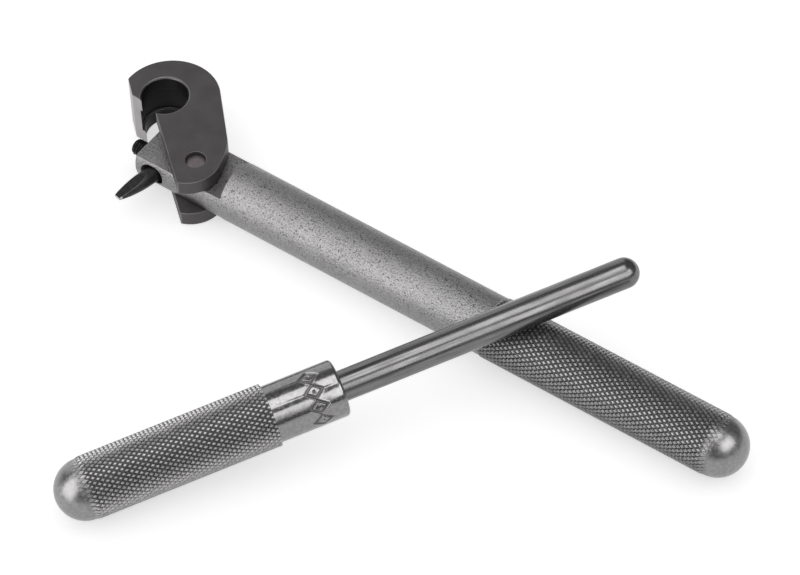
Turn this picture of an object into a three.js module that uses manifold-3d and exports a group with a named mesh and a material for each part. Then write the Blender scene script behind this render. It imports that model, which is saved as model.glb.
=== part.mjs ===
// Hook-head prying lever with its separate support rod. Millimetres, +Z up, standing on z = 0.
// The lever lies along +X from its hook to its domed butt; the support rod lies across it, its
// handle on the ground and its rod resting on the lever's grip.

import * as THREE from 'three';
import { mergeVertices } from 'three/addons/utils/BufferGeometryUtils.js';
import Module from 'manifold-3d';

const wasm = await Module();
wasm.setup();

// ---- lever bar; x is counted from the pivot, y and z from the bar's axis
const BAR_R = 7.94;
const GRIP_R = 8.17;
const BAR_END = -16.22;
const SHOULDER = 10.73;
const GRIP_START = 91.33;
const BUTT_CENTRE = 158.76;
const BUTT_R = 7.97;
const TONGUE_HALF = 3.55;
const PIVOT_Y = -2.69;

// ---- hook head; u runs from the pivot to the hook, w towards the mouth side
const HEAD_HALF = 7.94;
const SLOT_HALF = 3.75;
const SLOT_R = 21.5;
const HEAD_ANGLE = 140.2;
const BORE_CENTRE = [23.58, 2.74];
const BORE_R = 6.1;
const LIP_R = 5.85;
const GROOVE_R = 6.5;
const HOOK_CENTRE = [22.45, 1.65];
const HOOK_R = 13;
const MOUTH_SIDE = 6.27;
const HEEL_CENTRE = [0.9, 1.7];
const HEEL_R = 8.5;

// ---- pivot pin, chisel pin and its set screw
const PIN_R = 2.65;
const PIN_HALF = 7.1;
const CHISEL_R = 2.2;
const CHISEL_MOUTH = [-10.87, -7.94];
const CHISEL_ANGLE = 257.1;
const CHISEL_OUT = 11.2;
const CHISEL_IN = 10.5;
const HOLE_DEPTH = 13.8;
const HOLE_R = 2.65;
const HOLE_SHIFT = 0.7;
const SCREW_R = 2.2;
const SCREW_Y = -2.2;
const SCREW_OUT = -20.27;
const SCREW_IN = -12.6;

// ---- support rod; s is counted along its axis from the centre of the handle's dome
const DOME_R = 7.9;
const HANDLE_END = 48.95;
const COLLAR_R = 7.415;
const COLLAR_END = 67.6;
const ROD_R = 3.965;
const ROD_CENTRE = 143.7;
const SOCKET_START = 45.6;
const ROD_ANGLE = 57.48;
const ROD_TILT = 6.08;
const ROD_AT = [38.67, -98.39, 8.124 - GRIP_R];

const RUNNING = 0.06;
const PRESSED = 0.02;
const ROUND = 64;

const rad = THREE.MathUtils.degToRad;

// ---- closed solids and the operations on them

function solid(geometry) {
  const bare = geometry.index ? geometry.clone() : mergeVertices(geometry);
  bare.deleteAttribute('normal');
  bare.deleteAttribute('uv');
  const merged = mergeVertices(bare, 1e-4);
  const corner = merged.index.array;
  const kept = [];
  for (let i = 0; i < corner.length; i += 3) {
    const [a, b, c] = [corner[i], corner[i + 1], corner[i + 2]];
    if (a !== b && b !== c && c !== a) kept.push(a, b, c);
  }
  const vertProperties = new Float32Array(merged.attributes.position.array);
  if (signedVolume(vertProperties, kept) < 0) kept.reverse();
  const mesh = new wasm.Mesh({ numProp: 3, vertProperties, triVerts: new Uint32Array(kept) });
  return new wasm.Manifold(mesh);
}

function signedVolume(position, corner) {
  const point = (i) => new THREE.Vector3().fromArray(position, 3 * i);
  let six = 0;
  for (let i = 0; i < corner.length; i += 3) {
    const [a, b, c] = [point(corner[i]), point(corner[i + 1]), point(corner[i + 2])];
    six += a.dot(b.cross(c));
  }
  return six / 6;
}

function geometryOf(body) {
  const mesh = body.getMesh();
  const geometry = new THREE.BufferGeometry();
  geometry.setAttribute('position', new THREE.BufferAttribute(new Float32Array(mesh.vertProperties), 3));
  geometry.setIndex(new THREE.BufferAttribute(new Uint32Array(mesh.triVerts), 1));
  return geometry;
}

// A turned solid about the X axis from [x, radius] points that start and end on the axis.
function turned(points, segments = ROUND) {
  const profile = points.map(([x, r]) => new THREE.Vector2(r, x));
  return new THREE.LatheGeometry(profile, segments).rotateZ(-Math.PI / 2);
}

// The same about the Z axis, from [z, radius] points.
function turnedUpright(points, segments = ROUND) {
  const profile = points.map(([z, r]) => new THREE.Vector2(r, z));
  return new THREE.LatheGeometry(profile, segments).rotateX(Math.PI / 2);
}

function box(low, high) {
  const size = low.map((v, i) => high[i] - v);
  const middle = low.map((v, i) => (high[i] + v) / 2);
  return new THREE.BoxGeometry(...size).translate(...middle);
}

function arcPoints(centre, radius, from, to, steps) {
  const points = [];
  for (let i = 0; i <= steps; i += 1) {
    const angle = rad(from + ((to - from) * i) / steps);
    points.push([centre[0] + radius * Math.cos(angle), centre[1] + radius * Math.sin(angle)]);
  }
  return points;
}

// ---- lever bar

function barProfile() {
  const dome = arcPoints([BUTT_CENTRE, 0], BUTT_R, 90, 0, 14);
  dome[dome.length - 1][1] = 0;
  return [
    [BAR_END, 0],
    [BAR_END, BAR_R - 0.3],
    [BAR_END + 0.3, BAR_R],
    [GRIP_START, BAR_R],
    [GRIP_START + 0.3, GRIP_R],
    [BUTT_CENTRE - 0.5, GRIP_R],
    ...dome,
  ];
}

function chiselFrame(geometry) {
  return geometry.rotateZ(rad(CHISEL_ANGLE)).translate(CHISEL_MOUTH[0], CHISEL_MOUTH[1], 0);
}

// The oblong hole the chisel pin stands in: two half rounds joined by short flats.
function chiselHole() {
  const shape = new THREE.Shape();
  shape.moveTo(HOLE_SHIFT, -HOLE_R);
  shape.absarc(HOLE_SHIFT, 0, HOLE_R, -Math.PI / 2, Math.PI / 2, false);
  shape.absarc(-HOLE_SHIFT, 0, HOLE_R, Math.PI / 2, (3 * Math.PI) / 2, false);
  const depth = HOLE_DEPTH + 4;
  const geometry = new THREE.ExtrudeGeometry(shape, { depth, bevelEnabled: false, curveSegments: 16 });
  geometry.rotateX(Math.PI / 2).rotateZ(Math.PI / 2);
  geometry.translate(-HOLE_DEPTH, 0, 0);
  return chiselFrame(geometry);
}

function leverBar() {
  let bar = solid(turned(barProfile()));
  for (const side of [-1, 1]) {
    const low = side > 0 ? TONGUE_HALF : -BAR_R - 1;
    const high = side > 0 ? BAR_R + 1 : -TONGUE_HALF;
    bar = bar.subtract(solid(box([BAR_END - 1, -BAR_R - 1, low], [SHOULDER, BAR_R + 1, high])));
  }
  const pivot = turnedUpright([[-9, 0], [-9, PIN_R + RUNNING], [9, PIN_R + RUNNING], [9, 0]], 48);
  bar = bar.subtract(solid(pivot.translate(0, PIVOT_Y, 0)));
  bar = bar.subtract(solid(chiselHole()));
  const tapped = SCREW_R + RUNNING;
  const thread = turned([[BAR_END - 1, 0], [BAR_END - 1, tapped], [SCREW_IN + 1, tapped], [SCREW_IN + 1, 0]], 32);
  return bar.subtract(solid(thread.translate(0, SCREW_Y, 0)));
}

// ---- hook head

function headOutline() {
  const shape = new THREE.Shape();
  const tip = arcPoints(HOOK_CENTRE, HOOK_R, 43.2, 43.2, 1)[0];
  shape.moveTo(-6.4, MOUTH_SIDE);
  shape.lineTo(19.5, MOUTH_SIDE);
  shape.lineTo(22.28, 8.06);
  shape.lineTo(26.17, 10.77);
  shape.lineTo(tip[0], tip[1]);
  shape.absarc(HOOK_CENTRE[0], HOOK_CENTRE[1], HOOK_R, rad(43.2), rad(-96.5), true);
  shape.lineTo(5, -9.45);
  shape.quadraticCurveTo(1.69, -9.07, -4.05, -5.16);
  shape.absarc(HEEL_CENTRE[0], HEEL_CENTRE[1], HEEL_R, rad(234.2), rad(149), true);
  return shape;
}

// The bore: a plain upper part, the slot's wider ring, a narrower lip below, both rims bevelled.
function boreCutter() {
  const bevel = 0.3;
  const top = HEAD_HALF;
  const points = [
    [-top - 1, 0],
    [-top - 1, LIP_R + bevel + 1],
    [-top + bevel, LIP_R],
    [-SLOT_HALF, LIP_R],
    [-SLOT_HALF, GROOVE_R],
    [SLOT_HALF, GROOVE_R],
    [SLOT_HALF, BORE_R],
    [top - bevel, BORE_R],
    [top + 1, BORE_R + bevel + 1],
    [top + 1, 0],
  ];
  return turnedUpright(points).translate(BORE_CENTRE[0], BORE_CENTRE[1], 0);
}

// The hook's outer flat leans in towards the underside along a shallow curve.
function tipRelief() {
  const shape = new THREE.Shape();
  const surface = (z) => 10.6 - (z - 4) ** 2 / 96;
  shape.moveTo(16, -HEAD_HALF - 1);
  shape.lineTo(16, HEAD_HALF + 1);
  for (let i = 0; i <= 10; i += 1) {
    const z = HEAD_HALF + 1 - ((2 * HEAD_HALF + 2) * i) / 10;
    shape.lineTo(surface(z), z);
  }
  const geometry = new THREE.ExtrudeGeometry(shape, { depth: 14, bevelEnabled: false });
  return geometry.rotateX(Math.PI / 2).rotateZ(Math.PI / 2).translate(36, 0, 0);
}

function pinHole(radius) {
  return turnedUpright([[-9, 0], [-9, radius], [9, radius], [9, 0]], 48);
}

function headFrame(body) {
  return body.rotate([0, 0, HEAD_ANGLE]).translate([0, PIVOT_Y, 0]);
}

function hookHead() {
  const depth = 2 * HEAD_HALF;
  const block = new THREE.ExtrudeGeometry(headOutline(), { depth, bevelEnabled: false, curveSegments: 40 });
  const slot = turnedUpright([[-SLOT_HALF, 0], [-SLOT_HALF, SLOT_R], [SLOT_HALF, SLOT_R], [SLOT_HALF, 0]], 96);
  let head = solid(block.translate(0, 0, -HEAD_HALF));
  head = head.subtract(solid(slot));
  head = head.subtract(solid(boreCutter()));
  head = head.subtract(solid(tipRelief()));
  return headFrame(head.subtract(solid(pinHole(PIN_R + PRESSED))));
}

function pivotPin() {
  const edge = 0.2;
  const points = [
    [-PIN_HALF, 0],
    [-PIN_HALF, PIN_R - edge],
    [-PIN_HALF + edge, PIN_R],
    [PIN_HALF - edge, PIN_R],
    [PIN_HALF, PIN_R - edge],
    [PIN_HALF, 0],
  ];
  return headFrame(solid(turnedUpright(points, 48)));
}

// ---- chisel pin and set screw

// Shank, then an ogive that two flats bring down to a short straight edge.
function chiselPin() {
  const nose = (x) => CHISEL_R - 1.2 * ((x - 2.6) / (CHISEL_OUT - 2.6)) ** 1.7;
  const points = [[-CHISEL_IN, 0], [-CHISEL_IN, CHISEL_R - 0.3], [-CHISEL_IN + 0.3, CHISEL_R]];
  for (let i = 0; i <= 10; i += 1) {
    const x = 2.6 + ((CHISEL_OUT - 2.6) * i) / 10;
    points.push([x, nose(x)]);
  }
  points.push([CHISEL_OUT, 0]);
  const wedge = new THREE.Shape();
  wedge.moveTo(-CHISEL_IN - 1, -3);
  wedge.lineTo(-CHISEL_IN - 1, 3);
  wedge.lineTo(-2.7, 3);
  wedge.lineTo(CHISEL_OUT + 0.1, 0.35);
  wedge.lineTo(CHISEL_OUT + 0.1, -0.35);
  wedge.lineTo(-2.7, -3);
  const slab = new THREE.ExtrudeGeometry(wedge, { depth: 8, bevelEnabled: false });
  const faces = solid(chiselFrame(slab.rotateX(Math.PI / 2).translate(0, 4, 0)));
  return solid(chiselFrame(turned(points, 40))).intersect(faces);
}

function setScrew() {
  const edge = 0.35;
  const points = [
    [SCREW_OUT, 0],
    [SCREW_OUT, SCREW_R - edge],
    [SCREW_OUT + edge, SCREW_R],
    [SCREW_IN - edge, SCREW_R],
    [SCREW_IN, SCREW_R - edge],
    [SCREW_IN, 0],
  ];
  const hex = turned([[SCREW_OUT - 1, 0], [SCREW_OUT - 1, 1.2], [SCREW_OUT + 2, 1.2], [SCREW_OUT + 2, 0]], 6);
  const body = solid(turned(points, 32)).subtract(solid(hex));
  return body.translate([0, SCREW_Y, 0]);
}

// ---- support rod

function rodFrame(body) {
  return body.rotate([0, -ROD_TILT, 0]).rotate([0, 0, ROD_ANGLE]).translate(ROD_AT);
}

function rodHandle() {
  const dome = arcPoints([0, 0], DOME_R, 180, 90, 14);
  dome[0][1] = 0;
  const rim = arcPoints([COLLAR_END - 1, COLLAR_R - 1], 1, 90, 0, 5);
  const points = [
    ...dome,
    [0.5, GRIP_R],
    [HANDLE_END - 0.3, GRIP_R],
    [HANDLE_END, GRIP_R - 0.3],
    [HANDLE_END, COLLAR_R],
    ...rim,
    [COLLAR_END, ROD_R + PRESSED],
    [SOCKET_START, ROD_R + PRESSED],
    [SOCKET_START, 0],
  ];
  return rodFrame(solid(turned(points)));
}

function supportRod() {
  const tip = arcPoints([ROD_CENTRE, 0], ROD_R, 90, 0, 12);
  tip[tip.length - 1][1] = 0;
  const inner = SOCKET_START + 0.3;
  const points = [[inner, 0], [inner, ROD_R - 0.4], [inner + 0.4, ROD_R], ...tip];
  return rodFrame(solid(turned(points)));
}

// ---- the assembly

function meshOf(name, body, colour, roughness, metalness) {
  const material = new THREE.MeshStandardMaterial({ color: colour, roughness, metalness });
  const mesh = new THREE.Mesh(geometryOf(body), material);
  mesh.name = name;
  return mesh;
}

function assembly() {
  const group = new THREE.Group();
  group.name = 'hook_prying_lever';
  group.add(meshOf('lever_bar', leverBar(), 0x8c8c8e, 0.5, 1));
  group.add(meshOf('hook_head', hookHead(), 0x58565a, 0.6, 1));
  group.add(meshOf('pivot_pin', pivotPin(), 0x6e6a6c, 0.45, 1));
  group.add(meshOf('chisel_pin', chiselPin(), 0x1b1c1e, 0.4, 1));
  group.add(meshOf('chisel_set_screw', setScrew(), 0x101012, 0.45, 1));
  group.add(meshOf('rod_handle', rodHandle(), 0x8f8f91, 0.42, 1));
  group.add(meshOf('support_rod', supportRod(), 0x6c6c70, 0.3, 1));
  return group;
}

// Centres the whole over the origin and stands it on z = 0.
function centred(group) {
  const bounds = new THREE.Box3().setFromObject(group);
  const middle = bounds.getCenter(new THREE.Vector3());
  for (const mesh of group.children) mesh.geometry.translate(-middle.x, -middle.y, -bounds.min.z);
  return group;
}

export default centred(assembly());
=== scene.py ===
"""Looks of a hook-head prying lever and its support rod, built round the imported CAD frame.

Lengths are millimetres until a mesh is finished; placed() turns them into metres. A turned piece
is made along its own X axis and then placed on the line that the frame gives it.
"""

import math

import bmesh
import bpy
from mathutils import Matrix, Vector


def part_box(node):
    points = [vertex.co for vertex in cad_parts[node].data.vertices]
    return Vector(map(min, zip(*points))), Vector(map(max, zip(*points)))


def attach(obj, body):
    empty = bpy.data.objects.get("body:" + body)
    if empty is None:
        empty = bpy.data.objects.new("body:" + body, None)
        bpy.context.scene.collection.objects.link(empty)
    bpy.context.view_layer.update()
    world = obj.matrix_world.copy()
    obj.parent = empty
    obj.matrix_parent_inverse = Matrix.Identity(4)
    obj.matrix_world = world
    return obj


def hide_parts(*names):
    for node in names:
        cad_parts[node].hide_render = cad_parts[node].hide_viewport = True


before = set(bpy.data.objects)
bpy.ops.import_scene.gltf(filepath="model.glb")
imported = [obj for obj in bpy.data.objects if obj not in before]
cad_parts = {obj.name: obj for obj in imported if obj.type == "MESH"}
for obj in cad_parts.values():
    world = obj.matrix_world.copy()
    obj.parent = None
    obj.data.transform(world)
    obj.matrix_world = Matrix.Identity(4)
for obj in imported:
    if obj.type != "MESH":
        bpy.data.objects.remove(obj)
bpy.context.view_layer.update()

MM = 0.001

# Lever: radii, and distances from the centre of the butt's dome, which lies on the bar's axis.
BAR_R = 7.94
GRIP_R = 8.17
BUTT_R = 7.97
GRIP_LENGTH = 67.43

# Support rod: radii, and distances along its axis from the centre of the handle's dome. The axis
# points ROD_ANGLE degrees round from +X and rises by ROD_TILT degrees.
DOME_R = 7.9
HANDLE_END = 48.95
COLLAR_R = 7.415
COLLAR_END = 67.6
ROD_R = 3.965
ROD_TIP = 143.7
SOCKET_START = 45.6
ROD_ANGLE = 57.48
ROD_TILT = 6.08

# The collar's inner end is sunk COLLAR_SEAT into the handle's front, where the handle is hollow.
# The hollow's mouth and floor are narrower than the collar by these insets, so it covers them.
COLLAR_SEAT = 1
MOUTH_INSET = 0.3
FLOOR_INSET = 0.6
COLLAR_SEGMENTS = 360
COLLAR_ROUND = 1
COLLAR_ROUND_STEPS = 6
COLLAR_CHAMFER = 0.25

# The rod starts ROD_GAP in front of the hollow's floor. It is chamfered there and rounded at its tip.
ROD_GAP = 0.3
ROD_CHAMFER = 0.4
ROD_TIP_STEPS = 18
ROD_SEGMENTS = 96

# Diamond knurl: starts around the bar, pitch along the axis, and the share of a diamond's side
# that its flank takes up across each of the two ways the grooves run.
KNURL_STARTS = 39
LEVER_PITCH = 2.227
LEVER_FLANKS = (0.23, 0.33)
HANDLE_PITCH = 2.114
HANDLE_FLANKS = (0.31, 0.31)

# Knurl grooves: root radius, root flat as a share of a side, the share of the flank that is painted
# dark as shade in the groove, and the share of the flank's width and height at which its edge is
# broken. No groove is modelled narrower than LEAST_SHARE of a full one.
ROOT_R = 7.72
ROOT_FLAT = 0.05
SHADE_SHARE = 0.25
BREAK_WIDTH = 0.85
BREAK_HEIGHT = 0.93
LEAST_SHARE = 0.08

# Ends of the knurls. At the front of the lever's grip the crests rise over CREST_LEAD and the roots
# sink over ROOT_LEAD. The crests come down to the dome's radius over BUTT_EASE on the lever and
# DOME_EASE on the handle. The grooves end RUN_OUT past the dome's centre. The knurl is cut across
# at RUN_OUT_CUTS past it as well, so that it follows the dome.
CREST_LEAD = 0.5
ROOT_LEAD = 1.0
BUTT_EASE = 0.8
DOME_EASE = 1.0
RUN_OUT = 2.6
RUN_OUT_CUTS = (0.7, 1.4, 2.0)
DOME_STEPS = 16

# Material slots of a knurled piece; the root slot holds the painted shade of the grooves. Where the
# grooves run out, their roots and their crests take the dome's steel once they are down to these
# shares of full depth, so shallow grooves carry no painted shade.
CREST_SLOT = 0
DOME_SLOT = 1
ROOT_SHADE_SLOT = 2
ROOTS_END = 0.6
CRESTS_END = 0.3

# Radius that a knurl is cut at before it is rolled up to its real radii.
UNROLLED = 20.0

# Set screw: its thread, whose ridge takes up twice RIDGE_HALF of the pitch and is cut off flat by
# RIDGE_GAIN, and its hex socket, which ends in a drilled cone.
SCREW_R = 2.2
SCREW_PITCH = 0.794
SCREW_ROOT = 1.72
SCREW_SEGMENTS = 48
ROWS_PER_TURN = 8
RIDGE_HALF = 0.42
RIDGE_GAIN = 1.15
SOCKET_R = 1.2
SOCKET_DEPTH = 2.0
SOCKET_CONE = 0.4

# Directions of the chisel pin and of the hook head from its pivot, in degrees round from +X. The
# bore's place and where the hook's tip starts are counted along the head and towards its mouth.
CHISEL_ANGLE = 257.1
HEAD_ANGLE = 140.2
BORE_PLACE = (23.58, 2.74)
BORE_REACH = 6.8
TIP_START = 23.0
TIP_SIDE = 8.5

# A tip face looks towards the mouth and a bore face doesn't look up or down, by these cosines. Bore
# faces are painted near-black as the shade inside the bore; its rounded rim stays rubbed to
# RIM_DEPTH below the top.
TIP_FACING = 0.6
BORE_UPRIGHT = 0.9
RIM_DEPTH = 0.5

# Material slots of the other pieces.
BAR_EDGE_SLOT = 1
MARK_SHADE_SLOT = 1
HEAD_EDGE_SLOT = 1
BORE_SHADE_SLOT = 2
TIP_SLOT = 3
GROUND_SLOT = 1
CHISEL_EDGE_SLOT = 2

# CAD meshes: vertices within WELD of each other are joined, faces that turn by less than FLAT
# degrees become one, and corner normals follow face area with EVEN_WEIGHT.
WELD = 0.002
FLAT = 0.6
EVEN_WEIGHT = 50

# Widths of rounded edges. Edges that turn by more than ROUND_FROM degrees are rounded; the
# chisel's turn less, so they have a limit of their own.
BAR_ROUND = 0.18
HEAD_ROUND = 0.16
CHISEL_ROUND = 0.07
ROUND_FROM = 32
CHISEL_ROUND_FROM = 14
ROUND_SEGMENTS = 2

# Edges that turn by this many degrees or more are shaded sharp.
SHARP_FROM = 24
COLLAR_SHARP_FROM = 40
CHISEL_SHARP_FROM = 9

# How far the chisel's bare ground face runs back from its tip.
GROUND_TIP = 0.5

# Pivot pin: how far each end is sunk below the CAD's, the depth of the dish in it, the share of
# the radius where the dish is half as deep, and its rim as depths below the end and distances in
# from the side.
PIN_RECESS = 0.2
PIN_DISH = 0.06
PIN_DISH_SHARE = 0.45
PIN_RIM = ((0, 0.45), (0.12, 0.15), (0.35, 0))
PIN_SEGMENTS = 64

# Stamped marks round the collar: where their ring lies, the first one's angle, their spacing,
# their stroke with its sloping sides, and the burr beside it. Faces deeper than MARK_DARK are
# painted dark as the shade in the strokes.
# The marked band goes MARK_MARGIN past the diamonds, in rows about MARK_ROW apart.
MARK_COUNT = 4
MARK_AT = 60.4
MARK_FIRST = 84.7
MARK_STEP = 32.7
MARK_HALF_WIDTH = 1.75
MARK_HALF_LENGTH = 2.3
MARK_STROKE = 0.3
MARK_SLOPE = 0.24
MARK_DEPTH = 0.4
MARK_DARK = 0.3
MARK_MARGIN = 0.6
MARK_ROW = 0.13
BURR_OFFSET = 0.22
BURR_HALF_WIDTH = 0.16
BURR_HEIGHT = 0.05

# Distances that count as nothing, in general and for a cut through a knurl.
NEAR = 1e-4
KNURL_NEAR = 1e-5

# A mix node's sockets share their names between data types, so the colour ones go by number.
MIX_FACTOR = 0
MIX_DARK = 6
MIX_LIGHT = 7
MIX_COLOUR = 2

# Floor: how far it reaches from its middle, in metres, its tone, its roughness and its glow.
FLOOR_REACH = 12
FLOOR_TONE = 0.9
FLOOR_ROUGHNESS = 0.9
FLOOR_GLOW = 0.56

# Lights: how far off the softboxes stand and the overhead fill's height and size, all in metres,
# the fill's radiance, and the strength of the world, which the camera sees as white instead.
LIGHT_DISTANCE = 0.8
FILL_HEIGHT = 2.0
FILL_SIZE = 6.0
FILL_RADIANCE = 0.5
WORLD_STRENGTH = 0.23

# Camera: direction from the target and roll in degrees, lengths in millimetres, apart from
# VIEW_LIMIT, how far it sees, which is in metres.
VIEW_AZIMUTH = 39.36
VIEW_ELEVATION = 49.27
VIEW_ROLL = -3.95
VIEW_TARGET = Vector((-3.68, 37.39, 8.17))
VIEW_DISTANCE = 1708.08
VIEW_LENS = 306.84
SENSOR_WIDTH = 36
VIEW_LIMIT = 50


# ---- frame places


def centre_of(node):
    """The middle of a CAD node's box, in millimetres."""
    low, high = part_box(node)
    return (low + high) / (2 * MM)


def lever_line():
    """The centre of the butt's dome, in millimetres; the lever runs from it along -X."""
    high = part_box("lever_bar")[1] / MM
    middle = centre_of("lever_bar")
    return Vector((high.x - BUTT_R, middle.y, GRIP_R))


def handle_line():
    """The centre of the handle's dome, in millimetres."""
    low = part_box("rod_handle")[0] / MM
    lift = GRIP_R * math.cos(math.radians(ROD_TILT))
    return Vector((low.x + DOME_R, low.y + DOME_R, lift))


def along(point, turn, tilt):
    """A placement whose X axis starts at point and points turn degrees round and tilt degrees up."""
    return (
        Matrix.Translation(point * MM)
        @ Matrix.Rotation(math.radians(turn), 4, "Z")
        @ Matrix.Rotation(math.radians(-tilt), 4, "Y")
    )


def rod_place():
    """The placement of the support rod and its handle."""
    return along(handle_line(), ROD_ANGLE, ROD_TILT)


def flat_direction(turn):
    """A level direction, turn degrees round from +X."""
    return Vector((math.cos(math.radians(turn)), math.sin(math.radians(turn)), 0))


# ---- meshes


def placed(bm, name, place, body, slot, *nodes, limit=SHARP_FROM):
    """Finishes a mesh made in millimetres as a piece that rides on a body and stands for CAD nodes."""
    bmesh.ops.scale(bm, vec=(MM, MM, MM), verts=bm.verts)
    bmesh.ops.transform(bm, matrix=place, verts=bm.verts)
    bmesh.ops.recalc_face_normals(bm, faces=bm.faces)
    sharpen(bm, limit)
    mesh = bpy.data.meshes.new(name)
    bm.to_mesh(mesh)
    bm.free()
    piece = bpy.data.objects.new(name, mesh)
    bpy.context.scene.collection.objects.link(piece)
    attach(piece, body)
    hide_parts(*nodes)
    return piece


def sharpen(bm, limit):
    """Smooth shading, apart from edges that turn by limit degrees or more."""
    for face in bm.faces:
        face.smooth = True
    for edge in bm.edges:
        if len(edge.link_faces) == 2:
            edge.smooth = edge.calc_face_angle() < math.radians(limit)


def arc(centre, radius, start, end, steps):
    """Points (x, r) of an arc about (centre, 0), from start to end degrees."""
    turns = [math.radians(start + (end - start) * i / steps) for i in range(steps + 1)]
    return [(centre + radius * math.cos(t), max(radius * math.sin(t), 0.0)) for t in turns]


def next_ring(bm, x, radius, angles):
    """Vertices round the axis at x, or a single pole where the radius is nothing."""
    if radius < NEAR:
        return [bm.verts.new((x, 0, 0))]
    return [bm.verts.new((x, radius * math.cos(a), radius * math.sin(a))) for a in angles]


def bridge(bm, ring, other, slot=0):
    """Faces between two rings, either of which may be a single pole."""
    count = max(len(ring), len(other))
    faces = []
    for i in range(count):
        j = (i + 1) % count
        corners = [ring[i % len(ring)], ring[j % len(ring)]]
        corners += [other[j % len(other)], other[i % len(other)]]
        kept = [v for n, v in enumerate(corners) if v not in corners[:n]]
        face = bm.faces.new(kept)
        face.material_index = slot
        faces.append(face)
    return faces


def turn_on(bm, ring, profile, angles, slot=0):
    """Turns a profile of (x, r) points on from a ring, and returns the last ring."""
    for x, radius in profile:
        other = next_ring(bm, x, radius, angles)
        bridge(bm, ring, other, slot)
        ring = other
    return ring


def full_turn(segments):
    """Evenly spaced angles round the axis."""
    return [2 * math.pi * i / segments for i in range(segments)]


def lathe(profile, segments):
    """A body turned from a profile of (x, r) points."""
    bm = bmesh.new()
    angles = full_turn(segments)
    ring = next_ring(bm, *profile[0], angles)
    turn_on(bm, ring, profile[1:], angles)
    return bm


def radius_of(vert):
    """A vertex's distance from the X axis."""
    return math.hypot(vert.co.y, vert.co.z)


def cut_at(bm, x, near=KNURL_NEAR, drop_beyond=False, drop_before=False):
    """Cuts the mesh across at x, and drops what lies on the far or the near side if asked to."""
    everything = bm.verts[:] + bm.edges[:] + bm.faces[:]
    bmesh.ops.bisect_plane(
        bm, geom=everything, dist=near, plane_co=(x, 0, 0), plane_no=(1, 0, 0),
        clear_outer=drop_beyond, clear_inner=drop_before,
    )


def diamond(bm, corners, i, j, pitch, flanks, share):
    """One knurl diamond: a root flat, four flanks, broken edges and a flat crest.

    Positions are unrolled: distance along the axis, and a radius of UNROLLED plus the height
    from 0 at the root to 1 at the crest. The groove's width follows its share of full depth.
    """

    def at(a, b, height):
        turn = (a - b) * math.pi / KNURL_STARTS
        reach = UNROLLED + height
        return bm.verts.new(((a + b) * pitch / 2, reach * math.cos(turn), reach * math.sin(turn)))

    def corner(a, b):
        key = (a + b, (a - b) % (2 * KNURL_STARTS))
        if key not in corners:
            corners[key] = at(a, b, 0)
        return corners[key]

    ring = [corner(i, j), corner(i + 1, j), corner(i + 1, j + 1), corner(i, j + 1)]
    # Deep grooves get painted groove shade on their roots and lower flanks.
    dark = ROOT_SHADE_SLOT if share > ROOTS_END else DOME_SLOT
    light = CREST_SLOT if share > CRESTS_END else DOME_SLOT
    steps = (
        (0, 0, dark),
        (SHADE_SHARE, SHADE_SHARE, dark),
        (BREAK_WIDTH, BREAK_HEIGHT, light),
        (1, 1, light),
    )
    for flank_share, height, slot in steps:
        p, q = ((ROOT_FLAT + (flank - ROOT_FLAT) * flank_share) * share for flank in flanks)
        inner = [at(i + p, j + q, height), at(i + 1 - p, j + q, height)]
        inner += [at(i + 1 - p, j + 1 - q, height), at(i + p, j + 1 - q, height)]
        bridge(bm, ring, inner, slot)
        ring = inner
    bm.faces.new(ring).material_index = light


def knurled(start, end, pitch, flanks, crest, root, extra_cuts):
    """A knurled sleeve from start to end; crest and root give the radius at each x.

    The extra cuts are where those radii bend, so that the sleeve follows them.
    """
    bm = bmesh.new()
    corners = {}
    first = math.floor(2 * start / pitch) - 2
    last = math.ceil(2 * end / pitch) + 1
    for m in range(first, last):
        middle = (m + 1) * pitch / 2
        share = min(max((crest(middle) - root(middle)) / (GRIP_R - ROOT_R), LEAST_SHARE), 1)
        for k in range(m % 2, 2 * KNURL_STARTS, 2):
            diamond(bm, corners, (m + k) // 2, (m - k) // 2, pitch, flanks, share)
    cut_at(bm, start, drop_before=True)
    cut_at(bm, end, drop_beyond=True)
    for x in extra_cuts:
        cut_at(bm, x)
    for vert in bm.verts:
        height = min(max(radius_of(vert) - UNROLLED, 0), 1)
        x = vert.co.x
        radius = root(x) + (crest(x) - root(x)) * height
        turn = math.atan2(vert.co.z, vert.co.y)
        vert.co = (x, radius * math.cos(turn), radius * math.sin(turn))
    return bm


def end_ring(bm, x):
    """The vertices of the sleeve's end at x, in order round the axis, with their angles."""
    ring = [v for v in bm.verts if abs(v.co.x - x) < NEAR and v.is_boundary]
    ring.sort(key=lambda v: math.atan2(v.co.z, v.co.y))
    return ring, [math.atan2(v.co.z, v.co.y) for v in ring]


def dome_radius(x, radius):
    """Radius of a hemispherical end at distance x past its centre."""
    return math.sqrt(max(radius * radius - max(x, 0) ** 2, 0))


def close_with_dome(bm, x, radius, pole):
    """Closes the sleeve's end at x with the rest of a dome, whose pole is at 0 or 180 degrees."""
    ring, angles = end_ring(bm, x)
    begin = math.degrees(math.acos(x / radius))
    profile = arc(0, radius, begin, pole, DOME_STEPS)[1:]
    turn_on(bm, ring, profile, angles, DOME_SLOT)


# ---- materials


def node_tree(name):
    """A new material, with its nodes and its shader."""
    material = bpy.data.materials.new(name)
    material.use_nodes = True
    tree = material.node_tree
    tree.nodes.clear()
    output = tree.nodes.new("ShaderNodeOutputMaterial")
    shader = tree.nodes.new("ShaderNodeBsdfPrincipled")
    tree.links.new(shader.outputs["BSDF"], output.inputs["Surface"])
    return material, tree, shader


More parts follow.
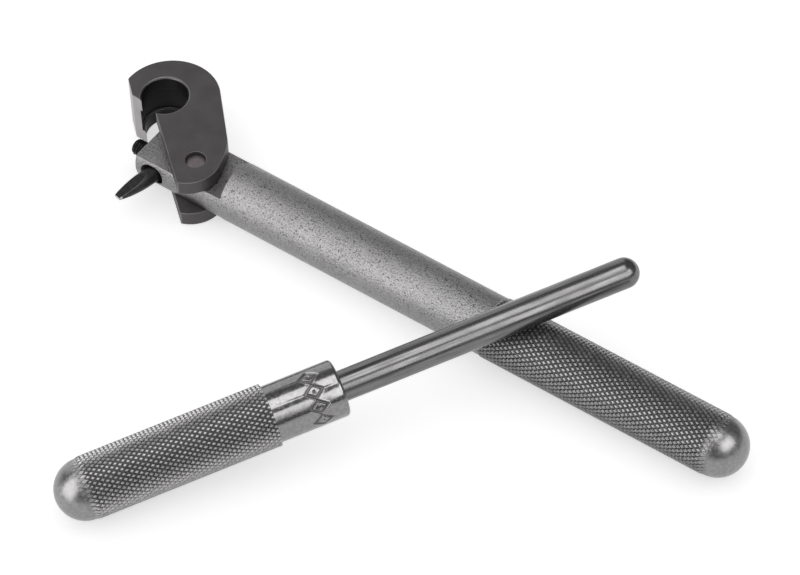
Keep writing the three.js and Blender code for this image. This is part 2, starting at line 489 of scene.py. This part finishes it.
def coordinates(tree, stretch=(1, 1, 1), place=None):
    """Object coordinates, or those of a placement, with each axis stretched."""
    vector = tree.nodes.new("ShaderNodeTexCoord").outputs["Object"]
    if place is not None:
        local = tree.nodes.new("ShaderNodeMapping")
        local.vector_type = "TEXTURE"
        local.inputs["Location"].default_value = place.to_translation()
        local.inputs["Rotation"].default_value = place.to_euler()
        tree.links.new(vector, local.inputs["Vector"])
        vector = local.outputs["Vector"]
    mapping = tree.nodes.new("ShaderNodeMapping")
    mapping.inputs["Scale"].default_value = stretch
    tree.links.new(vector, mapping.inputs["Vector"])
    return mapping.outputs["Vector"]


def noise(tree, vector, size, detail=3.0, roughness=0.55):
    """Noise whose features are about size millimetres across."""
    node = tree.nodes.new("ShaderNodeTexNoise")
    node.inputs["Scale"].default_value = 1 / (size * MM)
    node.inputs["Detail"].default_value = detail
    node.inputs["Roughness"].default_value = roughness
    tree.links.new(vector, node.inputs["Vector"])
    return node.outputs["Fac"]


def ramp(tree, value, low, high, from_low=0.3, from_high=0.7):
    """Maps a 0-1 value onto low-high, between the given ends."""
    node = tree.nodes.new("ShaderNodeMapRange")
    node.inputs["From Min"].default_value = from_low
    node.inputs["From Max"].default_value = from_high
    node.inputs["To Min"].default_value = low
    node.inputs["To Max"].default_value = high
    tree.links.new(value, node.inputs["Value"])
    return node.outputs["Result"]


def mixed(tree, factor, dark, light):
    """A colour between dark and light, each of which is a colour or a socket that gives one."""
    node = tree.nodes.new("ShaderNodeMix")
    node.data_type = "RGBA"
    for socket, colour in ((MIX_DARK, dark), (MIX_LIGHT, light)):
        if isinstance(colour, bpy.types.NodeSocket):
            tree.links.new(colour, node.inputs[socket])
        else:
            node.inputs[socket].default_value = (*colour, 1)
    tree.links.new(factor, node.inputs[MIX_FACTOR])
    return node.outputs[MIX_COLOUR]


def bumped(tree, shader, height, depth, strength=1.0, below=None):
    """Bump of depth millimetres, on top of another bump's normal where below is given."""
    node = tree.nodes.new("ShaderNodeBump")
    node.inputs["Strength"].default_value = strength
    node.inputs["Distance"].default_value = depth * MM
    tree.links.new(height, node.inputs["Height"])
    if below is not None:
        tree.links.new(below, node.inputs["Normal"])
    tree.links.new(node.outputs["Normal"], shader.inputs["Normal"])
    return node.outputs["Normal"]


def grey(value, plum=0.01):
    """A grey that leans a little from green to plum."""
    return (value * (1 + plum), value * (1 - plum), value)


def surface(tree, shader, tone, roughness, metallic=1.0):
    """Gives a shader its colour and its roughness, which are sockets, and its share of metal."""
    tree.links.new(tone, shader.inputs["Base Color"])
    tree.links.new(roughness, shader.inputs["Roughness"])
    shader.inputs["Metallic"].default_value = metallic


def blasted_steel():
    """Bead-blasted bar: a fine pitted grain that sparkles in the light band."""
    material, tree, shader = node_tree("blasted_bar_steel")
    where = coordinates(tree)
    grain = noise(tree, where, size=0.42, detail=2.0, roughness=0.6)
    pits = noise(tree, where, size=0.43, detail=1.0, roughness=0.5)
    drift = noise(tree, where, size=9.0, detail=2.0)
    tone = mixed(tree, ramp(tree, drift, 0, 1), grey(0.29), grey(0.33))
    tone = mixed(tree, ramp(tree, grain, 0, 1, from_low=0.3, from_high=0.65), grey(0.19), tone)
    tone = mixed(tree, ramp(tree, pits, 0, 1, from_low=0.33, from_high=0.4), grey(0.08), tone)
    surface(tree, shader, tone, ramp(tree, grain, 0.3, 0.42))
    bumped(tree, shader, grain, depth=0.21, strength=0.9)
    return material


def knurl_steel(name, middle_tone):
    """Knurl crests and upper flanks."""
    material, tree, shader = node_tree(name)
    where = coordinates(tree)
    drift = noise(tree, where, size=1.2)
    tone = mixed(tree, ramp(tree, drift, 0, 1), grey(middle_tone * 0.85), grey(middle_tone * 1.15))
    surface(tree, shader, tone, ramp(tree, drift, 0.32, 0.44))
    bumped(tree, shader, noise(tree, where, size=0.3, detail=2.0), depth=0.01, strength=0.4)
    return material


def root_shade_steel(name):
    """Knurl roots and lower flanks, painted dark as the shade in the grooves and as the oil and dust
    there.
    """
    material, tree, shader = node_tree(name)
    drift = noise(tree, coordinates(tree), size=0.8)
    tone = mixed(tree, ramp(tree, drift, 0, 1), grey(0.07), grey(0.12))
    surface(tree, shader, tone, ramp(tree, drift, 0.4, 0.55), metallic=0.8)
    return material


def turned_steel(name, place, middle_tone, rough):
    """Turned and lightly polished: tool rings round the axis."""
    material, tree, shader = node_tree(name)
    rings = noise(tree, coordinates(tree, (1, 0.02, 0.02), place), size=0.12, detail=2.0)
    cloud = noise(tree, coordinates(tree), size=0.9)
    tone = mixed(tree, ramp(tree, cloud, 0, 1), grey(middle_tone * 0.82), grey(middle_tone * 1.12))
    surface(tree, shader, tone, ramp(tree, cloud, rough - 0.04, rough + 0.06))
    ringed = bumped(tree, shader, rings, depth=0.012, strength=0.6)
    bumped(tree, shader, cloud, depth=0.02, strength=0.3, below=ringed)
    return material


def drawn_steel(place):
    """Polished drawn rod: long streaks along the axis."""
    material, tree, shader = node_tree("drawn_rod_steel")
    streaks = noise(tree, coordinates(tree, (0.03, 1, 1), place), size=0.5)
    blotches = noise(tree, coordinates(tree, (0.25, 1, 1), place), size=2.2)
    tone = mixed(tree, ramp(tree, blotches, 0, 1), grey(0.14), grey(0.2))
    tone = mixed(tree, ramp(tree, streaks, 0, 1, from_low=0.25, from_high=0.5), grey(0.09), tone)
    surface(tree, shader, tone, ramp(tree, blotches, 0.3, 0.2))
    bumped(tree, shader, streaks, depth=0.012, strength=0.35)
    return material


def sandy_steel(name, dark, light, rough, plum=0.02):
    """Matte finish with a sandy grain."""
    material, tree, shader = node_tree(name)
    where = coordinates(tree)
    grain = noise(tree, where, size=0.22, detail=2.0, roughness=0.6)
    drift = noise(tree, where, size=5.0)
    tone = mixed(tree, ramp(tree, drift, 0, 1), grey(dark, plum), grey(light, plum))
    surface(tree, shader, tone, ramp(tree, grain, rough - 0.06, rough + 0.06), metallic=0.75)
    bumped(tree, shader, grain, depth=0.02, strength=0.55)
    return material


def pin_steel():
    """The pin's cloudy ends, lighter and more plum than the head."""
    material, tree, shader = node_tree("pivot_pin_steel")
    where = coordinates(tree)
    cloud = noise(tree, where, size=1.1)
    tone = mixed(tree, ramp(tree, cloud, 0, 1), grey(0.155, plum=0.06), grey(0.22, plum=0.07))
    surface(tree, shader, tone, ramp(tree, cloud, 0.36, 0.5), metallic=0.85)
    bumped(tree, shader, noise(tree, where, size=0.2, detail=2.0), depth=0.015, strength=0.5)
    return material


def black_steel(name, rough):
    """Black oxide."""
    material, tree, shader = node_tree(name)
    where = coordinates(tree)
    cloud = noise(tree, where, size=0.8)
    tone = mixed(tree, ramp(tree, cloud, 0, 1), grey(0.018), grey(0.036))
    surface(tree, shader, tone, ramp(tree, cloud, rough, rough + 0.12), metallic=0.6)
    bumped(tree, shader, noise(tree, where, size=0.12, detail=2.0), depth=0.008, strength=0.4)
    return material


def give(piece, *materials):
    """Gives a piece its materials, in the order of its slots."""
    for material in materials:
        piece.data.materials.append(material)
    return piece


# ---- pieces cut from the CAD solids


def cad_mesh(node):
    """A CAD node's shape in millimetres with its flat faces whole again."""
    bm = bmesh.new()
    bm.from_mesh(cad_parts[node].data)
    bmesh.ops.scale(bm, vec=(1 / MM,) * 3, verts=bm.verts)
    bmesh.ops.remove_doubles(bm, verts=bm.verts, dist=WELD)
    bmesh.ops.dissolve_limit(
        bm, angle_limit=math.radians(FLAT), verts=bm.verts, edges=bm.edges,
        use_dissolve_boundaries=False,
    )
    return bm


def evened(piece):
    """Shades flat faces flat by weighting corner normals with face area."""
    weighted = piece.modifiers.new("even_normals", "WEIGHTED_NORMAL")
    weighted.weight = EVEN_WEIGHT
    weighted.keep_sharp = True
    return piece


def rounded(bm, width, slot, limit=ROUND_FROM):
    """Rounds every edge that turns by more than limit degrees; the rounds take a material slot."""
    edges = [
        e for e in bm.edges
        if len(e.link_faces) == 2 and e.calc_face_angle() > math.radians(limit)
    ]
    bmesh.ops.bevel(
        bm, geom=edges, offset=width, offset_type="OFFSET", segments=ROUND_SEGMENTS,
        profile=0.5, affect="EDGES", clamp_overlap=False, material=slot,
    )
    return bm


# ---- lever


def lever_shank():
    """The smooth bar with its tongue, pivot hole, chisel hole and tapped hole."""
    bm = cad_mesh("lever_bar")
    cut_at(bm, lever_line().x - GRIP_LENGTH, near=NEAR, drop_beyond=True)
    rounded(bm, BAR_ROUND, BAR_EDGE_SLOT)
    rim = [e for e in bm.edges if e.is_boundary]
    bmesh.ops.contextual_create(bm, geom=rim)
    piece = placed(bm, "lever_shank", Matrix(), "lever", "bar_steel", "lever_bar")
    rubbed = sandy_steel("rubbed_bar_edges", dark=0.17, light=0.3, rough=0.4)
    return give(evened(piece), blasted_steel(), rubbed)


def lever_grip():
    """The knurled grip, whose grooves run out into the turned butt."""
    start = -GRIP_LENGTH

    def crest(x):
        if x < start + CREST_LEAD:
            return BAR_R + (GRIP_R - BAR_R) * (x - start) / CREST_LEAD
        if x > 0:
            return dome_radius(x, BUTT_R)
        return min(GRIP_R, BUTT_R - (GRIP_R - BUTT_R) * x / BUTT_EASE)

    def root(x):
        if x < start + ROOT_LEAD:
            return BAR_R + (ROOT_R - BAR_R) * (x - start) / ROOT_LEAD
        return min(ROOT_R, dome_radius(x, BUTT_R))

    cuts = (start + CREST_LEAD, start + ROOT_LEAD, -BUTT_EASE, 0, *RUN_OUT_CUTS)
    bm = knurled(start, RUN_OUT, LEVER_PITCH, LEVER_FLANKS, crest, root, cuts)
    close_with_dome(bm, RUN_OUT, BUTT_R, 0)
    ring, angles = end_ring(bm, start)
    turn_on(bm, ring, [(start, 0)], angles)
    place = along(lever_line(), 0, 0)
    piece = placed(bm, "lever_grip", place, "lever", "bar_steel", "lever_bar")
    return give(
        piece,
        knurl_steel("lever_knurl_steel", middle_tone=0.25),
        turned_steel("turned_butt_steel", place, middle_tone=0.26, rough=0.3),
        root_shade_steel("lever_knurl_root_shade"),
    )


# ---- support rod


def handle():
    """The knurled handle with its dome, and the hollow in its front that the collar sits in."""

    def crest(x):
        if x < 0:
            return dome_radius(-x, DOME_R)
        return min(GRIP_R, DOME_R + (GRIP_R - DOME_R) * x / DOME_EASE)

    def root(x):
        return min(ROOT_R, dome_radius(-x, DOME_R))

    cuts = (*(-x for x in reversed(RUN_OUT_CUTS)), 0, DOME_EASE)
    bm = knurled(-RUN_OUT, HANDLE_END, HANDLE_PITCH, HANDLE_FLANKS, crest, root, cuts)
    close_with_dome(bm, -RUN_OUT, DOME_R, 180)
    ring, angles = end_ring(bm, HANDLE_END)
    hollow = [(HANDLE_END, COLLAR_R - MOUTH_INSET)]
    hollow += [(SOCKET_START, COLLAR_R - FLOOR_INSET), (SOCKET_START, 0)]
    turn_on(bm, ring, hollow, angles)
    place = rod_place()
    piece = placed(bm, "handle_grip", place, "rod_tool", "handle_steel", "rod_handle")
    return give(
        piece,
        knurl_steel("handle_knurl_steel", middle_tone=0.34),
        turned_steel("turned_dome_steel", place, middle_tone=0.265, rough=0.32),
        root_shade_steel("handle_knurl_root_shade"),
    )


def mark_height(across, lengthwise):
    """Height of the collar's surface near a stamped diamond with a dot in its middle.

    The place is given across and lengthwise from the diamond's centre. off is how far it lies from
    the middle of the nearest stroke.
    """
    slant = math.hypot(1 / MARK_HALF_WIDTH, 1 / MARK_HALF_LENGTH)
    off = abs(abs(across) / MARK_HALF_WIDTH + abs(lengthwise) / MARK_HALF_LENGTH - 1) / slant
    off = min(off, math.hypot(across, lengthwise))
    cut = min(max((MARK_STROKE + MARK_SLOPE / 2 - off) / MARK_SLOPE, 0), 1)
    burr = max(0, 1 - abs(off - MARK_STROKE - BURR_OFFSET) / BURR_HALF_WIDTH)
    return BURR_HEIGHT * burr - MARK_DEPTH * cut * cut * (3 - 2 * cut)


def collar():
    """The smooth collar with its ring of stamped marks."""
    angles = full_turn(COLLAR_SEGMENTS)
    bm = bmesh.new()
    begin = HANDLE_END - COLLAR_SEAT
    ring = next_ring(bm, begin, COLLAR_R - FLOOR_INSET, angles)
    bridge(bm, next_ring(bm, begin, 0, angles), ring)
    reach = MARK_HALF_LENGTH + MARK_MARGIN
    steps = round(2 * reach / MARK_ROW)
    ring = turn_on(bm, ring, [(begin, COLLAR_R), (MARK_AT - reach, COLLAR_R)], angles)
    for s in range(1, steps):
        x = MARK_AT - reach + 2 * reach * s / steps
        row = []
        for a in angles:
            nearest = round((math.degrees(a) - MARK_FIRST) / MARK_STEP)
            nearest = min(max(nearest, 0), MARK_COUNT - 1)
            across = COLLAR_R * (a - math.radians(MARK_FIRST + MARK_STEP * nearest))
            radius = COLLAR_R + mark_height(across, x - MARK_AT)
            row.append(bm.verts.new((x, radius * math.cos(a), radius * math.sin(a))))
        for face in bridge(bm, ring, row):
            # Faces deep in a stroke are painted dark as the shade inside it.
            if min(radius_of(v) for v in face.verts) < COLLAR_R - MARK_DARK:
                face.material_index = MARK_SHADE_SLOT
        ring = row
    front = [(MARK_AT + reach, COLLAR_R)]
    corner = arc(COLLAR_END - COLLAR_ROUND, COLLAR_ROUND, 90, 0, COLLAR_ROUND_STEPS)
    front += [(x, COLLAR_R - COLLAR_ROUND + r) for x, r in corner]
    mouth = COLLAR_END - COLLAR_CHAMFER
    front += [(COLLAR_END, ROD_R + COLLAR_CHAMFER), (mouth, ROD_R), (mouth, 0)]
    turn_on(bm, ring, front, angles)
    place = rod_place()
    piece = placed(
        bm, "handle_collar", place, "rod_tool", "handle_steel", "rod_handle",
        limit=COLLAR_SHARP_FROM,
    )
    return give(
        piece,
        turned_steel("turned_collar_steel", place, middle_tone=0.25, rough=0.16),
        sandy_steel("mark_shade_steel", dark=0.1, light=0.18, rough=0.4),
    )


def support_rod():
    """The plain rod, from inside the handle to its rounded tip."""
    start = SOCKET_START + ROD_GAP
    profile = [(start, 0), (start, ROD_R - ROD_CHAMFER)]
    profile += [(start + ROD_CHAMFER, ROD_R), (COLLAR_END, ROD_R)]
    profile += arc(ROD_TIP, ROD_R, 90, 0, ROD_TIP_STEPS)
    bm = lathe(profile, ROD_SEGMENTS)
    place = rod_place()
    piece = placed(bm, "support_rod_drawn", place, "rod_tool", "rod_steel", "support_rod")
    return give(piece, drawn_steel(place))


# ---- hook head, pin, chisel and screw


def hook_head():
    """The dark head with rubbed edges, a bore painted near-black as shade, and a bare machined face on
    the hook's tip.
    """
    bm = rounded(cad_mesh("hook_head"), HEAD_ROUND, HEAD_EDGE_SLOT)
    pivot = centre_of("pivot_pin")
    along_head = flat_direction(HEAD_ANGLE)
    mouth = Vector((-along_head.y, along_head.x, 0))
    bore = pivot + along_head * BORE_PLACE[0] + mouth * BORE_PLACE[1]
    top = max(v.co.z for v in bm.verts)
    for face in bm.faces:
        middle = face.calc_center_median()
        reach = (middle - pivot).dot(along_head)
        side = (middle - pivot).dot(mouth)
        if reach > TIP_START and side > TIP_SIDE and face.normal.dot(mouth) > TIP_FACING:
            face.material_index = TIP_SLOT
        # Upright faces in the bore take the near-black painted shade.
        elif (middle - bore).to_2d().length < BORE_REACH and abs(face.normal.z) < BORE_UPRIGHT:
            if face.material_index != HEAD_EDGE_SLOT or middle.z < top - RIM_DEPTH:
                face.material_index = BORE_SHADE_SLOT
    piece = placed(bm, "hook_head_finished", Matrix(), "hook", "head_steel", "hook_head")
    return give(
        evened(piece),
        sandy_steel("dark_head_steel", dark=0.078, light=0.097, rough=0.55, plum=0.04),
        sandy_steel("rubbed_head_edges", dark=0.15, light=0.2, rough=0.42),
        sandy_steel("bore_shade_steel", dark=0.006, light=0.009, rough=0.5),
        sandy_steel("machined_tip_steel", dark=0.3, light=0.37, rough=0.4),
    )


def pivot_pin():
    """The upright pin, with a shallow dish and a rounded rim at each end."""
    low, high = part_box("pivot_pin")
    middle = centre_of("pivot_pin")
    half = (high.z - low.z) / (2 * MM) - PIN_RECESS
    radius = (high.x - low.x) / (2 * MM)
    end = [(half - PIN_DISH, 0), (half - PIN_DISH / 2, radius * PIN_DISH_SHARE)]
    end += [(half - depth, radius - inset) for depth, inset in PIN_RIM]
    profile = [(-x, r) for x, r in end] + end[::-1]
    place = Matrix.Translation(middle * MM) @ Matrix.Rotation(math.radians(-90), 4, "Y")
    bm = lathe(profile, PIN_SEGMENTS)
    piece = placed(bm, "pivot_pin_turned", place, "hook", "pin_steel", "pivot_pin")
    return give(piece, pin_steel())


def chisel():
    """The black chisel pin with rubbed edges and a bare ground tip."""
    bm = rounded(cad_mesh("chisel_pin"), CHISEL_ROUND, CHISEL_EDGE_SLOT, CHISEL_ROUND_FROM)
    outward = flat_direction(CHISEL_ANGLE)
    reach = max(v.co.dot(outward) for v in bm.verts)
    for face in bm.faces:
        if face.calc_center_median().dot(outward) > reach - GROUND_TIP:
            face.material_index = GROUND_SLOT
    piece = placed(
        bm, "chisel_pin_ground", Matrix(), "chisel", "black_steel", "chisel_pin",
        limit=CHISEL_SHARP_FROM,
    )
    return give(
        evened(piece),
        black_steel("black_chisel_steel", rough=0.3),
        sandy_steel("ground_tip_steel", dark=0.34, light=0.46, rough=0.35),
        sandy_steel("rubbed_chisel_edges", dark=0.06, light=0.11, rough=0.35),
    )


def set_screw():
    """A threaded screw, built from its outer end, which has a hex socket, inwards along +X."""
    low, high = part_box("chisel_set_screw")
    middle = centre_of("chisel_set_screw")
    length = (high.x - low.x) / MM
    steps = round(length / (SCREW_PITCH / ROWS_PER_TURN))
    bm = bmesh.new()
    angles = full_turn(SCREW_SEGMENTS)
    rows = []
    for s in range(steps + 1):
        x = length * s / steps
        taper = min(x, length - x) + SCREW_ROOT
        row = []
        for n, a in enumerate(angles):
            phase = (x / SCREW_PITCH + n / SCREW_SEGMENTS) % 1
            ridge = max(0, 1 - abs(phase - 0.5) / RIDGE_HALF)
            radius = SCREW_ROOT + (SCREW_R - SCREW_ROOT) * min(ridge * RIDGE_GAIN, 1)
            radius = min(radius, taper)
            row.append(bm.verts.new((x, radius * math.cos(a), radius * math.sin(a))))
        rows.append(row)
    for row, other in zip(rows, rows[1:]):
        bridge(bm, row, other)
    hexagon = []
    for a in angles:
        side = math.cos(math.pi / 6) / math.cos((a % (math.pi / 3)) - math.pi / 6)
        hexagon.append(bm.verts.new((0, SOCKET_R * side * math.cos(a), SOCKET_R * side * math.sin(a))))
    bridge(bm, rows[0], hexagon)
    floor_ring = [bm.verts.new((SOCKET_DEPTH, v.co.y, v.co.z)) for v in hexagon]
    bridge(bm, hexagon, floor_ring)
    bridge(bm, floor_ring, [bm.verts.new((SOCKET_DEPTH + SOCKET_CONE, 0, 0))])
    bridge(bm, rows[-1], [bm.verts.new((length, 0, 0))])
    start = Vector((low.x / MM, middle.y, middle.z))
    place = Matrix.Translation(start * MM)
    piece = placed(bm, "set_screw_threaded", place, "screw", "screw_steel", "chisel_set_screw")
    return give(piece, black_steel("black_screw_steel", rough=0.28))


# ---- floor, light and camera


def floor():
    """The pale ground under the tools, which only takes part in the pictures."""
    bm = bmesh.new()
    bmesh.ops.create_grid(bm, x_segments=2, y_segments=2, size=FLOOR_REACH)
    mesh = bpy.data.meshes.new("floor")
    bm.to_mesh(mesh)
    bm.free()
    piece = bpy.data.objects.new("floor", mesh)
    bpy.context.scene.collection.objects.link(piece)
    material, tree, shader = node_tree("pale_floor")
    shader.inputs["Base Color"].default_value = (FLOOR_TONE, FLOOR_TONE, FLOOR_TONE, 1)
    shader.inputs["Roughness"].default_value = FLOOR_ROUGHNESS
    shader.inputs["Specular IOR Level"].default_value = 0.0
    shader.inputs["Emission Color"].default_value = (1, 1, 1, 1)
    shader.inputs["Emission Strength"].default_value = FLOOR_GLOW
    give(piece, material)


def towards(azimuth, elevation):
    """The direction of a place round the object; azimuth 0 is the -Y side and 90 the +X side."""
    a, e = math.radians(azimuth), math.radians(elevation)
    return Vector((math.sin(a) * math.cos(e), -math.cos(a) * math.cos(e), math.sin(e)))


def area_light(name, place, width, height, radiance):
    """A rectangular light that the camera doesn't see; its energy follows from its radiance."""
    data = bpy.data.lights.new(name, "AREA")
    data.shape = "RECTANGLE"
    data.size = width
    data.size_y = height
    data.energy = radiance * width * height * math.pi
    lamp = bpy.data.objects.new(name, data)
    bpy.context.scene.collection.objects.link(lamp)
    lamp.matrix_world = place
    lamp.visible_camera = False
    return lamp


def softbox(name, azimuth, elevation, wide, tall, radiance):
    """A soft light mirrored by the metal; it covers wide by tall degrees as the object sees it."""
    direction = towards(azimuth, elevation)
    aim = (-direction).to_track_quat("-Z", "Y").to_matrix().to_4x4()
    place = Matrix.Translation(direction * LIGHT_DISTANCE) @ aim
    width = 2 * LIGHT_DISTANCE * math.tan(math.radians(wide / 2))
    height = 2 * LIGHT_DISTANCE * math.tan(math.radians(tall / 2))
    area_light(name, place, width, height, radiance).visible_diffuse = False


def light():
    """Softboxes for the metal, a fill for the rest, and a world that the camera sees as white."""
    softbox("overhead", azimuth=64, elevation=86, wide=34, tall=36, radiance=2.7)
    softbox("left", azimuth=-28, elevation=25, wide=48, tall=58, radiance=2.8)
    softbox("upper_left", azimuth=-66, elevation=58, wide=36, tall=22, radiance=1.5)
    softbox("right", azimuth=89, elevation=39, wide=49, tall=33, radiance=3.0)
    softbox("back_left", azimuth=-120, elevation=20, wide=60, tall=46, radiance=0.8)
    overhead = Matrix.Translation((0, 0, FILL_HEIGHT))
    area_light("fill", overhead, FILL_SIZE, FILL_SIZE, FILL_RADIANCE).visible_glossy = False
    world = bpy.data.worlds.new("studio")
    bpy.context.scene.world = world
    world.use_nodes = True
    tree = world.node_tree
    shade = tree.nodes["Background"]
    shade.inputs["Color"].default_value = (1, 1, 1, 1)
    shade.inputs["Strength"].default_value = WORLD_STRENGTH
    white = tree.nodes.new("ShaderNodeBackground")
    white.inputs["Strength"].default_value = 1.0
    white.inputs["Color"].default_value = (1, 1, 1, 1)
    path = tree.nodes.new("ShaderNodeLightPath")
    choice = tree.nodes.new("ShaderNodeMixShader")
    tree.links.new(path.outputs["Is Camera Ray"], choice.inputs[0])
    tree.links.new(shade.outputs[0], choice.inputs[1])
    tree.links.new(white.outputs[0], choice.inputs[2])
    tree.links.new(choice.outputs[0], tree.nodes["World Output"].inputs["Surface"])
    bpy.context.scene.view_settings.view_transform = "Standard"


def camera():
    """The camera as it was fitted to the photo, and the scene's active one."""
    data = bpy.data.cameras.new("camera")
    data.sensor_width = SENSOR_WIDTH
    data.lens = VIEW_LENS
    data.clip_end = VIEW_LIMIT
    eye = bpy.data.objects.new("camera", data)
    bpy.context.scene.collection.objects.link(eye)
    back = towards(VIEW_AZIMUTH, VIEW_ELEVATION)
    aim = (-back).to_track_quat("-Z", "Y").to_matrix().to_4x4()
    turn = Matrix.Rotation(math.radians(VIEW_ROLL), 4, "Z")
    eye.matrix_world = Matrix.Translation((VIEW_TARGET + back * VIEW_DISTANCE) * MM) @ aim @ turn
    bpy.context.scene.camera = eye


lever_shank()
lever_grip()
handle()
collar()
support_rod()
hook_head()
pivot_pin()
chisel()
set_screw()
floor()
light()
camera()
